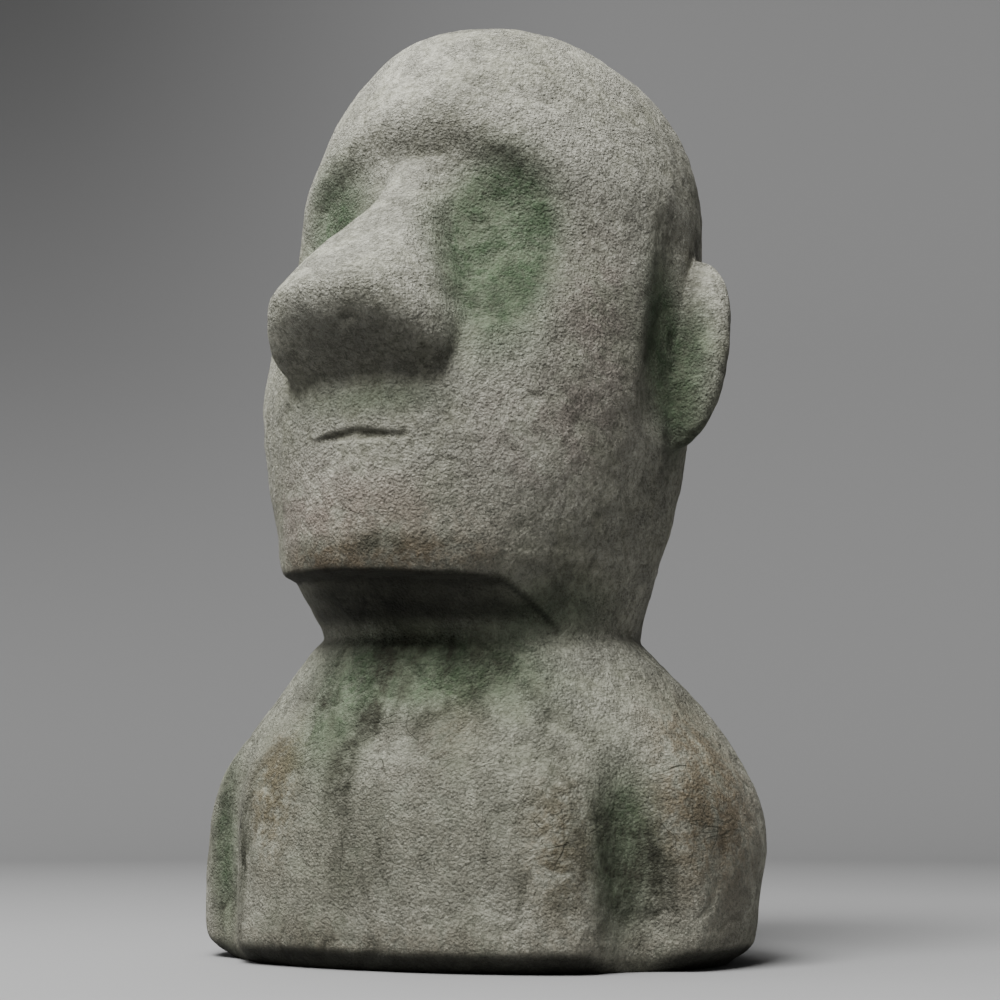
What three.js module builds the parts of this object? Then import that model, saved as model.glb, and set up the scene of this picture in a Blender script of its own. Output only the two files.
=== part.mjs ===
// A garden statue in the shape of a moai: a blunt, eyeless stone head on a bell-shaped bust,
// carved as one solid piece. Millimetres, +Z up. The face looks along -Y, the statue's left
// hand is at +X, and the origin is on the ground under the middle of the statue.
//
// The form is described by one function that is negative inside the stone. Each main mass
// (head, neck, bust, nose, ears) is a loft through a few named sections, and soft minimums
// and maximums join them and cut the grooves. The surface is then found along rays that
// leave an upright axis inside the statue, one ray for each corner of the mesh.
import * as THREE from 'three';

// ---------------------------------------------------------------- driving sizes

const HEIGHT = 500;

// Each mass's sections are rows of height, half width, middle, reach to the front and reach
// to the back. A section is a rounded oval, whose curve is 2 for an ellipse and more for a
// fuller one. A value called rounding or softness is the width of a blend.

const SKULL = {
  crownStart: 372,
  crownCurve: 2.25,
  faceCurve: 2.02,
  napeCurve: 2.15,
  sections: [
    [150, 80, 4, 84, 78],
    [172, 86, 2, 95, 84],
    [190, 91.5, -1, 105.5, 91],
    [204, 95.5, -3, 111.5, 98],
    [225, 100.5, -2.5, 116.5, 107],
    [247, 104.5, -2, 119, 115],
    [268, 107.5, -1, 121, 119],
    [290, 109.5, 1, 122, 122],
    [312, 110, 6, 121, 123],
    [334, 109.5, 12, 121, 123],
    [356, 108, 19, 121, 123],
    [372, 107, 23, 120, 122],
    [400, 107, 29, 121, 121],
    [440, 107, 34, 122, 130],
    [470, 107, 31, 122, 140],
    [HEIGHT, 107, 15, 122, 144],
  ],
};

// The chin is carried forward below chin.start, except on the statue's left.
const CHIN = { reach: 5, start: 219, softness: 27, end: 84, endSoftness: 40 };

// The jaw is cut off by a nearly level plane, a little lower on the statue's left, where
// the cut then drops away and the cheek runs straight down into the neck.
const JAW = { height: 193, sideSlope: -0.05, rounding: 3, end: 60, endSoftness: 26, endDrop: 45 };

// The neck slopes in under the chin. It is fuller on the statue's left, where the undercut
// dies away into the cheek.
const NECK = {
  top: 204,
  topRounding: 4,
  curveRight: 2,
  curveLeft: 2.6,
  skullRounding: 3,
  sections: [
    [140, 90, 8, 84, 80],
    [163, 84.5, 5, 80, 79],
    [172, 85.5, 4, 83, 81],
    [182, 88.5, 1, 90, 86],
    [192, 92, -1, 97, 91],
    [204, 95.5, -3, 102, 98],
  ],
};

const BUST = {
  top: 190,
  topRounding: 6,
  curveFront: 2.15,
  curveBack: 2,
  bevelHeight: 9,
  bevelSlope: 0.9,
  bevelRounding: 3,
  sections: [
    [-20, 145, 0, 108, 117],
    [0, 145, 0, 109, 118],
    [14, 149, 0, 112, 120],
    [35, 152, 3, 116, 119],
    [56, 153.5, 9, 122.5, 116],
    [77, 151, 9.5, 121, 114],
    [98, 143, 9, 116, 109],
    [119, 128, 11, 108, 101],
    [140, 109.5, 10, 97, 92],
    [152, 98.5, 7, 88.5, 86],
    [163, 87.5, 5, 80, 80],
    [175, 70, 4, 64, 64],
    [200, 60, 4, 50, 50],
  ],
};

// The groove between each arm and the chest follows a bent rod. Both are turned together
// about the upright axis, by a few degrees.
const ARM_GROOVE = {
  turn: THREE.MathUtils.degToRad(6),
  rounding: 17,
  cores: [
    { core: [125, -79, -10], radius: 22 },
    { core: [125, -80, 60], radius: 21 },
    { core: [120, -78, 98], radius: 17 },
  ],
};

// The nose is an oval loft, cut off below by the plane from its tip back to the lip. Its
// sections are height, sideways place, half width and foremost point; lip and tip are
// places seen from the side, as y and z.
const NOSE = {
  root: -88,
  leastReach: 30,
  curve: 3,
  sideSharpness: 0.85,
  lip: [-112, 281.5],
  tip: [-152, 322],
  tipRounding: 13,
  top: 412,
  topRounding: 12,
  back: -40,
  backRounding: 4,
  rounding: 3,
  sections: [
    [270, 0, 20, -153.5],
    [278, 0, 30, -153.5],
    [284, 0, 37, -153.5],
    [291, -1, 43.5, -153.5],
    [300, -1, 49, -153.5],
    [310, -1, 50.5, -153.5],
    [320, -1, 49, -153.5],
    [330, -2, 45.5, -151.5],
    [340, -2, 42, -142.5],
    [350, -2, 37, -132],
    [360, -1, 31.5, -121],
    [370, 1, 26, -110],
    [380, 4, 21.5, -100],
    [395, 6, 17, -88],
    [410, 7, 14, -80],
    [425, 7, 12, -76],
  ],
};

// The eyes have no balls or lids: the face is sunk under one arched brow, from `edge` on
// one side to `edge` on the other, and a hollow lies on each side of the nose.
const EYES = {
  middle: 4,
  browHeight: 435,
  browDrop: 24, // how far the arch has come down at browHalfWidth
  browHalfWidth: 70,
  browSoftness: 25,
  sink: 10,
  edge: 88,
  edgeSoftness: 55,
  cheekStart: 285,
  cheekSoftness: 85,
  fadeStart: 20,
  fadeLength: 30,
};
const EYE_HOLLOW = { depth: 8, x: 50, z: 362, halfWidth: 40, halfHeight: 42, spread: 1.35 };

// The mouth is a shallow slit.
const MOUTH = {
  rounding: 2,
  cores: [
    { core: [0, -122.3, 261.5], radius: 2.8 },
    { core: [27, -118.5, 259], radius: 1.6 },
  ],
};

// Each ear is a leaning oval boss behind a shallow hollow.
const EAR = { x: 107, y: 38, z: 317, out: 24, deep: 15.5, tall: 53, lean: 0.32, rounding: 4 };
const EAR_HOLLOW = {
  rounding: 12,
  cores: [
    { core: [130, 22, 372], radius: 22 },
    { core: [126, -6, 285], radius: 20 },
  ],
};

const HEAD_TO_BUST_ROUNDING = 3;
const BUST_TO_NECK_ROUNDING = 4;

// Mesh rows: heights on the axis, then a fan of rays over the crown.
const LEVEL_RUNS = [
  { to: 12, count: 4 },
  { to: 152, count: 15 },
  { to: 206, count: 14 },
  { to: 274, count: 6 },
  { to: 304, count: 6 },
  { to: 400, count: 10 },
];
const FAN_HEIGHT = 400;
const FAN_ROWS = 15;

// Mesh columns: degrees away from the face, for one half. Runs are finer at the nose and
// ears on the head, and at the arm grooves on the bust.
const HEAD_COLUMNS = [
  { to: 50, count: 13 },
  { to: 72, count: 4 },
  { to: 106, count: 10 },
  { to: 180, count: 7 },
];
const BUST_COLUMNS = [
  { to: 46, count: 8 },
  { to: 76, count: 12 },
  { to: 110, count: 6 },
  { to: 180, count: 8 },
];
const COLUMN_CHANGE = { from: 130, to: 190 };

// The axis that the rays leave: its setback from the middle at a few heights.
const AXIS = [[0, 5], [150, 5], [230, 20], [300, 40], [FAN_HEIGHT, 30]];

const STONE_COLOUR = 0x8d8f86;
const STONE_ROUGHNESS = 0.95;

// The search for the surface: rays start far outside and walk in, then halve the last step.
const SEARCH = { start: 210, step: 3, halvings: 24 };

// ---------------------------------------------------------------- soft joins

/** Minimum of two values, rounded over where they differ by less than `width`. */
function softMin(a, b, width) {
  const near = Math.max(width - Math.abs(a - b), 0) / width;
  return Math.min(a, b) - near * near * width * 0.25;
}

/** Maximum of two values, rounded in the same way. */
function softMax(a, b, width) {
  return -softMin(-a, -b, width);
}

/** Rises smoothly from 0 to 1 while t goes from 0 to 1. */
function ease(t) {
  const held = THREE.MathUtils.clamp(t, 0, 1);
  return held * held * (3 - 2 * held);
}

// ---------------------------------------------------------------- sections

/**
 * Makes a smooth curve through a table whose first column is height.
 * Returns a function from height to the table's other columns.
 */
function throughSections(table) {
  const heights = table.map((row) => row[0]);
  const values = table.map((row) => row.slice(1));
  const last = table.length - 1;
  const rise = (i, c) => (values[i + 1][c] - values[i][c]) / (heights[i + 1] - heights[i]);
  const slopes = values.map((row, i) => row.map((_, c) => {
    if (i === 0) return rise(0, c);
    if (i === last) return rise(last - 1, c);
    const below = heights[i] - heights[i - 1];
    const above = heights[i + 1] - heights[i];
    return (rise(i - 1, c) * above + rise(i, c) * below) / (below + above);
  }));
  return (height) => {
    const z = THREE.MathUtils.clamp(height, heights[0], heights[last]);
    let i = 0;
    while (i < last - 1 && z >= heights[i + 1]) i += 1;
    const span = heights[i + 1] - heights[i];
    const t = (z - heights[i]) / span;
    const t2 = t * t;
    const t3 = t2 * t;
    return values[i].map((value, c) => (2 * t3 - 3 * t2 + 1) * value
      + (t3 - 2 * t2 + t) * span * slopes[i][c]
      + (3 * t2 - 2 * t3) * values[i + 1][c]
      + (t3 - t2) * span * slopes[i + 1][c]);
  };
}

const skullSection = throughSections(SKULL.sections);
const neckSection = throughSections(NECK.sections);
const bustSection = throughSections(BUST.sections);
const noseSection = throughSections(NOSE.sections);

/** Size of the rounded oval through (u, v), where 1 is the oval of unit half widths. */
function oval(u, v, curve) {
  return (Math.abs(u) ** curve + Math.abs(v) ** curve) ** (1 / curve);
}

/** Distance from the point (x, y, z) to the skin of a tapering rod between two cores. */
function rodDistance(x, y, z, start, end) {
  const [ax, ay, az] = start.core;
  const along = end.core.map((value, i) => value - start.core[i]);
  const from = [x - ax, y - ay, z - az];
  const length2 = along.reduce((sum, value) => sum + value * value, 0);
  const dot = along.reduce((sum, value, i) => sum + value * from[i], 0);
  const t = THREE.MathUtils.clamp(dot / length2, 0, 1);
  const away = Math.hypot(...from.map((value, i) => value - t * along[i]));
  return away - THREE.MathUtils.lerp(start.radius, end.radius, t);
}

// ---------------------------------------------------------------- the masses

/** How far the chin is carried forward at a place. */
function chinReach(x, z) {
  const below = ease((CHIN.start - z) / CHIN.softness);
  const across = ease((CHIN.end - x) / CHIN.endSoftness);
  return CHIN.reach * below * across;
}

/** The head without its features: lofted sections under a rounded crown. */
function skull(x, y, z) {
  const [halfWidth, middle, front, back] = skullSection(z);
  const facing = y < middle;
  const reach = facing ? front + chinReach(x, z) : back;
  const level = oval(x / halfWidth, (y - middle) / reach, facing ? SKULL.faceCurve : SKULL.napeCurve);
  const climb = Math.max(z - SKULL.crownStart, 0) / (HEIGHT - SKULL.crownStart);
  return (oval(level, climb, SKULL.crownCurve) - 1) * halfWidth;
}

/** How deep the eye region is sunk under the brow at a place on the face. */
function eyeSink(x, y, z) {
  const side = Math.abs(x - EYES.middle);
  const brow = EYES.browHeight - EYES.browDrop * (side / EYES.browHalfWidth) ** 2;
  const underBrow = ease((brow - z) / EYES.browSoftness);
  const overCheek = ease((z - EYES.cheekStart) / EYES.cheekSoftness);
  const acrossFace = ease((EYES.edge - side) / EYES.edgeSoftness);
  const across = (side - EYE_HOLLOW.x) / EYE_HOLLOW.halfWidth;
  const up = (z - EYE_HOLLOW.z) / EYE_HOLLOW.halfHeight;
  const hollow = EYE_HOLLOW.depth * ease(EYE_HOLLOW.spread - Math.hypot(across, up));
  const fade = ease((EYES.fadeStart - y) / EYES.fadeLength);
  return (EYES.sink * underBrow * overCheek * acrossFace + hollow) * fade;
}

/** The wedge-shaped nose. */
function nose(x, y, z) {
  const [sideways, halfWidth, foremost] = noseSection(z);
  const root = Math.max(NOSE.root, foremost + NOSE.leastReach);
  const reach = root - foremost;
  const level = oval((x - sideways) / halfWidth, Math.min(y - root, 0) / reach, NOSE.curve);
  const sides = (level - 1) * Math.min(halfWidth, reach) * NOSE.sideSharpness;
  const [lipY, lipZ] = NOSE.lip;
  const out = lipY - NOSE.tip[0];
  const up = NOSE.tip[1] - lipZ;
  const under = ((lipY - y) * up - (z - lipZ) * out) / Math.hypot(out, up);
  const wedge = softMax(sides, under, NOSE.tipRounding);
  return softMax(softMax(wedge, z - NOSE.top, NOSE.topRounding), y - NOSE.back, NOSE.backRounding);
}

/** The ear on the side of x. */
function ear(x, y, z) {
  const middle = EAR.y + EAR.lean * (z - EAR.z);
  const out = (Math.abs(x) - EAR.x) / EAR.out;
  return (Math.hypot(out, (y - middle) / EAR.deep, (z - EAR.z) / EAR.tall) - 1) * EAR.out;
}

/** The neck, kept within the head's own outline so that its sides run into the cheeks. */
function neck(x, y, z) {
  const [halfWidth, middle, front, back] = neckSection(z);
  const frontCurve = x > 0 ? NECK.curveLeft : NECK.curveRight;
  const facing = y < middle;
  const curve = facing ? frontCurve : SKULL.napeCurve;
  const level = oval(x / halfWidth, (y - middle) / (facing ? front : back), curve);
  const sides = softMax((level - 1) * halfWidth, skull(x, y, z), NECK.skullRounding);
  return softMax(sides, z - NECK.top, NECK.topRounding);
}

/** The arm grooves, turned together about the upright axis. */
function armGrooves(x, y, z) {
  const turned = Math.abs(x * Math.cos(ARM_GROOVE.turn) + y * Math.sin(ARM_GROOVE.turn));
  const behind = y * Math.cos(ARM_GROOVE.turn) - x * Math.sin(ARM_GROOVE.turn);
  const [foot, bend, top] = ARM_GROOVE.cores;
  return Math.min(rodDistance(turned, behind, z, foot, bend), rodDistance(turned, behind, z, bend, top));
}

/** The bust, with its bevelled foot and the two arm grooves. */
function bust(x, y, z) {
  const [halfWidth, middle, front, back] = bustSection(z);
  const facing = y < middle;
  const reach = facing ? front : back;
  const level = oval(x / halfWidth, (y - middle) / reach, facing ? BUST.curveFront : BUST.curveBack);
  const sides = (level - 1) * reach;
  const bevel = sides - (z - BUST.bevelHeight) * BUST.bevelSlope;
  const body = softMax(softMax(sides, bevel, BUST.bevelRounding), z - BUST.top, BUST.topRounding);
  return softMax(body, -armGrooves(x, y, z), ARM_GROOVE.rounding);
}

/** The head with its jaw, eye region, nose, ears and mouth. */
function head(x, y, z) {
  const jawDrop = JAW.endDrop * ease((x - JAW.end) / JAW.endSoftness);
  const jaw = JAW.height + JAW.sideSlope * x - jawDrop;
  const cut = softMax(skull(x, y, z) + eyeSink(x, y, z), jaw - z, JAW.rounding);
  const face = softMin(cut, nose(x, y, z), NOSE.rounding);
  const earHollow = rodDistance(Math.abs(x), y, z, ...EAR_HOLLOW.cores);
  const sides = softMin(softMax(face, -earHollow, EAR_HOLLOW.rounding), ear(x, y, z), EAR.rounding);
  return softMax(sides, -rodDistance(Math.abs(x), y, z, ...MOUTH.cores), MOUTH.rounding);
}

/** The whole statue: negative inside the stone. */
function statue(x, y, z) {
  const lower = softMin(bust(x, y, z), neck(x, y, z), BUST_TO_NECK_ROUNDING);
  return softMin(head(x, y, z), lower, HEAD_TO_BUST_ROUNDING);
}

// ---------------------------------------------------------------- the mesh

/** Even steps through runs of { to, count }, starting at 0. */
function stepsThrough(runs) {
  const steps = [0];
  for (const { to, count } of runs) {
    const from = steps[steps.length - 1];
    for (let i = 1; i <= count; i += 1) steps.push(from + (to - from) * (i / count));
  }
  return steps;
}

/** The axis's setback at a height. */
function axisSetback(height) {
  const upper = AXIS.findIndex(([at]) => at >= height);
  if (upper <= 0) return AXIS[0][1];
  const [z0, y0] = AXIS[upper - 1];
  const [z1, y1] = AXIS[upper];
  return y0 + (y1 - y0) * ((height - z0) / (z1 - z0));
}

/** Rows of the mesh from the ground up: where the rays start and how steeply they climb. */
function meshRows() {
  const level = stepsThrough(LEVEL_RUNS).map((z) => ({ y: axisSetback(z), z, climb: 0 }));
  const fan = Array.from({ length: FAN_ROWS - 1 }, (_, i) => (
    { y: axisSetback(FAN_HEIGHT), z: FAN_HEIGHT, climb: ((i + 1) / FAN_ROWS) * (Math.PI / 2) }));
  return [...level, ...fan];
}

/** Angles of the mesh's columns at a height, all the way round, in radians from +X. */
function columnAngles(height) {
  const share = ease((height - COLUMN_CHANGE.from) / (COLUMN_CHANGE.to - COLUMN_CHANGE.from));
  const onHead = stepsThrough(HEAD_COLUMNS);
  const onBust = stepsThrough(BUST_COLUMNS);
  const half = onHead.map((angle, i) => THREE.MathUtils.lerp(onBust[i], angle, share));
  const left = half.slice(0, -1);
  const right = half.slice(1).reverse().map((angle) => 360 - angle);
  return [...left, ...right].map((angle) => THREE.MathUtils.degToRad(angle - 90));
}

/** The point where a ray from inside leaves the stone for good. */
function surfacePoint(start, direction) {
  const inside = (distance) => {
    const p = start.clone().addScaledVector(direction, distance);
    return statue(p.x, p.y, p.z) < 0;
  };
  let far = SEARCH.start;
  while (!inside(far - SEARCH.step)) far -= SEARCH.step;
  let near = far - SEARCH.step;
  for (let i = 0; i < SEARCH.halvings; i += 1) {
    const half = (near + far) / 2;
    if (inside(half)) near = half;
    else far = half;
  }
  return start.clone().addScaledVector(direction, (near + far) / 2);
}

/** The statue's closed surface. */
function statueGeometry() {
  const points = [];
  const triangles = [];
  const rows = meshRows();
  for (const row of rows) {
    const start = new THREE.Vector3(0, row.y, row.z);
    for (const angle of columnAngles(row.z)) {
      const level = Math.cos(row.climb);
      const climb = Math.sin(row.climb);
      const direction = new THREE.Vector3(level * Math.cos(angle), level * Math.sin(angle), climb);
      points.push(surfacePoint(start, direction));
    }
  }
  const columns = points.length / rows.length;
  for (let row = 0; row < rows.length - 1; row += 1) {
    for (let column = 0; column < columns; column += 1) {
      const next = (column + 1) % columns;
      const a = row * columns + column;
      const b = row * columns + next;
      triangles.push(a, b, b + columns, a, b + columns, a + columns);
    }
  }
  const fanStart = new THREE.Vector3(0, axisSetback(FAN_HEIGHT), FAN_HEIGHT);
  const ground = points.push(new THREE.Vector3(0, axisSetback(0), 0)) - 1;
  const top = points.push(surfacePoint(fanStart, new THREE.Vector3(0, 0, 1))) - 1;
  const lastRow = (rows.length - 1) * columns;
  for (let column = 0; column < columns; column += 1) {
    const next = (column + 1) % columns;
    triangles.push(ground, next, column);
    triangles.push(top, lastRow + column, lastRow + next);
  }
  const geometry = new THREE.BufferGeometry().setFromPoints(points);
  geometry.setIndex(triangles);
  geometry.computeVertexNormals();
  return geometry;
}

const stone = new THREE.MeshStandardMaterial({ color: STONE_COLOUR, roughness: STONE_ROUGHNESS });
const solid = new THREE.Mesh(statueGeometry(), stone);
solid.name = 'statue';

const group = new THREE.Group();
group.add(solid);

export default group;
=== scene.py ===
"""A cast-stone garden moai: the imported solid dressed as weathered, algae-stained stone.

The fine skin is worked out from the same form as the solid: one function that is negative
inside the stone. Its surface is found along rays from an upright axis inside the statue,
then lumps, pits and worn edges are added along the surface normal. Sizes are millimetres
until the mesh is made, which is in metres.
"""
import logging
from dataclasses import dataclass, field
from enum import Enum
from math import atan2, cos, degrees, pi, radians, sin
from typing import Any, Sequence

import bpy
import numpy as np
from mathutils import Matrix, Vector


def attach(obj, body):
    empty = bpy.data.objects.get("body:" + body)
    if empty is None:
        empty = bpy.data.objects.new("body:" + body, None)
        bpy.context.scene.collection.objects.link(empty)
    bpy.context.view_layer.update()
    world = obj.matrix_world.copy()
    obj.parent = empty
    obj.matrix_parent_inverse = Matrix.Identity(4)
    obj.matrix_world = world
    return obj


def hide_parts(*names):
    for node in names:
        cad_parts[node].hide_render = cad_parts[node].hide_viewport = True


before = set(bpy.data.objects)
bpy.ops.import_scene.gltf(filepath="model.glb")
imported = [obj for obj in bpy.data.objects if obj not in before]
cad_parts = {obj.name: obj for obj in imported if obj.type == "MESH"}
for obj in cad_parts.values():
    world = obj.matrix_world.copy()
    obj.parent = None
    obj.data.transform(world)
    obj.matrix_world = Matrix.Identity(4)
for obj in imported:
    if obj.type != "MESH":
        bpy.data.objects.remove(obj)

log = logging.getLogger("statue")

Array = np.ndarray
Point = tuple[float, float, float]
MM = 0.001


# ------------------------------------------------------------------ soft joins and sections


def soft_min(a: Array, b: Array, width: float) -> Array:
    """The smaller of two values, rounded over where they differ by less than a width.

    Args:
        a: first values.
        b: second values.
        width: how far apart the values may be and still be blended.

    Returns:
        min(a, b) less a quarter of the width times the squared nearness of a and b.
    """
    near = np.maximum(width - np.abs(a - b), 0.0) / width
    return np.minimum(a, b) - near * near * width * 0.25


def soft_max(a: Array, b: Array, width: float) -> Array:
    """The larger of two values, rounded in the same way as soft_min."""
    return -soft_min(-a, -b, width)


def ease(t: Array) -> Array:
    """Rises smoothly from 0 to 1 as t does: 3 t squared less 2 t cubed."""
    held = np.clip(t, 0.0, 1.0)
    return held * held * (3.0 - 2.0 * held)


def oval(u: Array, v: Array, curve: Array | float) -> Array:
    """Size of the rounded oval through (u, v): the root of the sum of their powers."""
    return (np.abs(u) ** curve + np.abs(v) ** curve) ** (1.0 / curve)


@dataclass(frozen=True)
class Sections:
    """A smooth curve through a table whose first column is height.

    Between two rows the other columns follow the cubic that has the rows' values and
    slopes; a row's slope is the mean of its neighbours' rises, weighted by closeness.
    """

    rows: Sequence[Sequence[float]]

    def at(self, height: Array) -> list[Array]:
        """The table's other columns at some heights.

        Args:
            height: heights in millimetres.

        Returns:
            One array for each column after the first.
        """
        table = np.array(self.rows, float)
        heights, values = table[:, 0], table[:, 1:]
        steps = np.diff(heights)[:, None]
        rises = np.diff(values, axis=0) / steps
        slopes = np.empty_like(values)
        slopes[0], slopes[-1] = rises[0], rises[-1]
        slopes[1:-1] = (rises[:-1] * steps[1:] + rises[1:] * steps[:-1]) / (steps[1:] + steps[:-1])
        z = np.clip(height, heights[0], heights[-1])
        i = np.clip(np.searchsorted(heights, z, side="right") - 1, 0, len(heights) - 2)
        span = heights[i + 1] - heights[i]
        t = (z - heights[i]) / span
        t2, t3 = t * t, t * t * t
        return [
            (2 * t3 - 3 * t2 + 1) * values[i, c]
            + (t3 - 2 * t2 + t) * span * slopes[i, c]
            + (3 * t2 - 2 * t3) * values[i + 1, c]
            + (t3 - t2) * span * slopes[i + 1, c]
            for c in range(values.shape[1])
        ]


@dataclass(frozen=True)
class Rod:
    """A tapering round-ended rod, used to cut grooves and slits."""

    start: Point
    end: Point
    start_radius: float
    end_radius: float

    def distance(self, x: Array, y: Array, z: Array) -> Array:
        """Distance from the rod's skin: length to the nearest core point less its radius."""
        ax, ay, az = self.start
        dx, dy, dz = (e - s for s, e in zip(self.start, self.end))
        dot = (x - ax) * dx + (y - ay) * dy + (z - az) * dz
        t = np.clip(dot / (dx * dx + dy * dy + dz * dz), 0.0, 1.0)
        away = np.sqrt((x - ax - t * dx) ** 2 + (y - ay - t * dy) ** 2 + (z - az - t * dz) ** 2)
        return away - (self.start_radius + (self.end_radius - self.start_radius) * t)


# ------------------------------------------------------------------ the masses


@dataclass(frozen=True)
class Skull:
    """The head without its features: lofted sections under a rounded crown."""

    height: float = 500.0
    chin_reach: float = 5.0
    chin_start: float = 219.0
    chin_softness: float = 27.0
    chin_end: float = 84.0
    chin_end_softness: float = 40.0
    crown_start: float = 372.0
    crown_curve: float = 2.25
    face_curve: float = 2.02
    nape_curve: float = 2.15
    # height, half width, middle, reach to the front, reach to the back
    sections: Sections = Sections((
        (150, 80, 4, 84, 78),
        (172, 86, 2, 95, 84),
        (190, 91.5, -1, 105.5, 91),
        (204, 95.5, -3, 111.5, 98),
        (225, 100.5, -2.5, 116.5, 107),
        (247, 104.5, -2, 119, 115),
        (268, 107.5, -1, 121, 119),
        (290, 109.5, 1, 122, 122),
        (312, 110, 6, 121, 123),
        (334, 109.5, 12, 121, 123),
        (356, 108, 19, 121, 123),
        (372, 107, 23, 120, 122),
        (400, 107, 29, 121, 121),
        (440, 107, 34, 122, 130),
        (470, 107, 31, 122, 140),
        (500, 107, 15, 122, 144),
    ))

    def value(self, x: Array, y: Array, z: Array) -> Array:
        """Negative inside: oval size of the section, carried over the crown, less one."""
        half_width, middle, front, back = self.sections.at(z)
        facing = y < middle
        chin = ease((self.chin_start - z) / self.chin_softness) * ease((self.chin_end - x) / self.chin_end_softness)
        reach = np.where(facing, front + self.chin_reach * chin, back)
        level = oval(x / half_width, (y - middle) / reach, np.where(facing, self.face_curve, self.nape_curve))
        climb = np.maximum(z - self.crown_start, 0.0) / (self.height - self.crown_start)
        return (oval(level, climb, self.crown_curve) - 1.0) * half_width


@dataclass(frozen=True)
class EyeRegion:
    """The sunk face under an arched brow, with a hollow where each eye would be."""

    middle: float = 4.0
    brow_height: float = 435.0
    brow_drop: float = 24.0
    brow_half_width: float = 70.0
    brow_softness: float = 25.0
    sink: float = 10.0
    sink_edge: float = 88.0
    sink_softness: float = 55.0
    cheek_start: float = 285.0
    cheek_softness: float = 85.0
    hollow_depth: float = 8.0
    hollow_x: float = 50.0
    hollow_z: float = 362.0
    hollow_half_width: float = 40.0
    hollow_half_height: float = 42.0

    def from_eye(self, x: Array, z: Array) -> Array:
        """Distance from the nearer hollow's middle, as a share of its half sizes."""
        side = np.abs(x - self.middle)
        return np.hypot((side - self.hollow_x) / self.hollow_half_width, (z - self.hollow_z) / self.hollow_half_height)

    def depth(self, x: Array, y: Array, z: Array) -> Array:
        """How deep the face is sunk: eased edges multiplied together, plus the hollow."""
        side = np.abs(x - self.middle)
        brow = self.brow_height - self.brow_drop * (side / self.brow_half_width) ** 2
        under_brow = ease((brow - z) / self.brow_softness)
        over_cheek = ease((z - self.cheek_start) / self.cheek_softness)
        across_face = ease((self.sink_edge - side) / self.sink_softness)
        hollow = self.hollow_depth * ease(1.35 - self.from_eye(x, z))
        return (self.sink * under_brow * over_cheek * across_face + hollow) * ease((20.0 - y) / 30.0)


@dataclass(frozen=True)
class Nose:
    """The wedge-shaped nose: a broad upper face that meets a sloping underside at the tip."""

    # height, sideways place, half width, foremost point
    sections: Sections = Sections((
        (270, 0, 20, -153.5),
        (278, 0, 30, -153.5),
        (284, 0, 37, -153.5),
        (291, -1, 43.5, -153.5),
        (300, -1, 49, -153.5),
        (310, -1, 50.5, -153.5),
        (320, -1, 49, -153.5),
        (330, -2, 45.5, -151.5),
        (340, -2, 42, -142.5),
        (350, -2, 37, -132),
        (360, -1, 31.5, -121),
        (370, 1, 26, -110),
        (380, 4, 21.5, -100),
        (395, 6, 17, -88),
        (410, 7, 14, -80),
        (425, 7, 12, -76),
    ))
    root: float = -88.0
    least_reach: float = 30.0
    curve: float = 3.0
    lip: tuple[float, float] = (-112.0, 281.5)
    tip: tuple[float, float] = (-152.0, 322.0)
    tip_rounding: float = 13.0
    top: float = 412.0

    def value(self, x: Array, y: Array, z: Array) -> Array:
        """Negative inside: oval size of the section in front of the nose's root, less one,
        cut by the plane that slopes from the tip back to the lip."""
        sideways, half_width, foremost = self.sections.at(z)
        root = np.maximum(self.root, foremost + self.least_reach)
        reach = root - foremost
        level = oval((x - sideways) / half_width, np.minimum(y - root, 0.0) / reach, self.curve)
        sides = (level - 1.0) * np.minimum(half_width, reach) * 0.85
        out, up = self.lip[0] - self.tip[0], self.tip[1] - self.lip[1]
        under = ((self.lip[0] - y) * up - (z - self.lip[1]) * out) / np.hypot(out, up)
        ends = soft_max(soft_max(sides, under, self.tip_rounding), z - self.top, 12.0)
        return soft_max(ends, y + 40.0, 4.0)


@dataclass(frozen=True)
class Ear:
    """The leaning oval boss on each side of the head."""

    x: float = 107.0
    y: float = 38.0
    z: float = 317.0
    out: float = 24.0
    deep: float = 15.5
    tall: float = 53.0
    lean: float = 0.32
    hollow: Rod = Rod((130, 22, 372), (126, -6, 285), 22, 20)

    def value(self, x: Array, y: Array, z: Array) -> Array:
        """Negative inside: size of the leaning ellipsoid less one."""
        middle = self.y + self.lean * (z - self.z)
        out = (np.abs(x) - self.x) / self.out
        size = np.sqrt(out ** 2 + ((y - middle) / self.deep) ** 2 + ((z - self.z) / self.tall) ** 2)
        return (size - 1.0) * self.out


@dataclass(frozen=True)
class Neck:
    """The neck, which slopes in under the chin and runs into the cheeks at its sides."""

    sections: Sections = Sections((
        (140, 90, 8, 84, 80),
        (163, 84.5, 5, 80, 79),
        (172, 85.5, 4, 83, 81),
        (182, 88.5, 1, 90, 86),
        (192, 92, -1, 97, 91),
        (204, 95.5, -3, 102, 98),
    ))
    top: float = 204.0
    curve_right: float = 2.0
    curve_left: float = 2.6

    def value(self, x: Array, y: Array, z: Array, skull: Skull) -> Array:
        """Negative inside: oval size of the section less one, kept within the skull."""
        half_width, middle, front, back = self.sections.at(z)
        facing = y < middle
        curve = np.where(facing, np.where(x > 0, self.curve_left, self.curve_right), skull.nape_curve)
        level = oval(x / half_width, (y - middle) / np.where(facing, front, back), curve)
        sides = soft_max((level - 1.0) * half_width, skull.value(x, y, z), 3.0)
        return soft_max(sides, z - self.top, 4.0)


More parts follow.
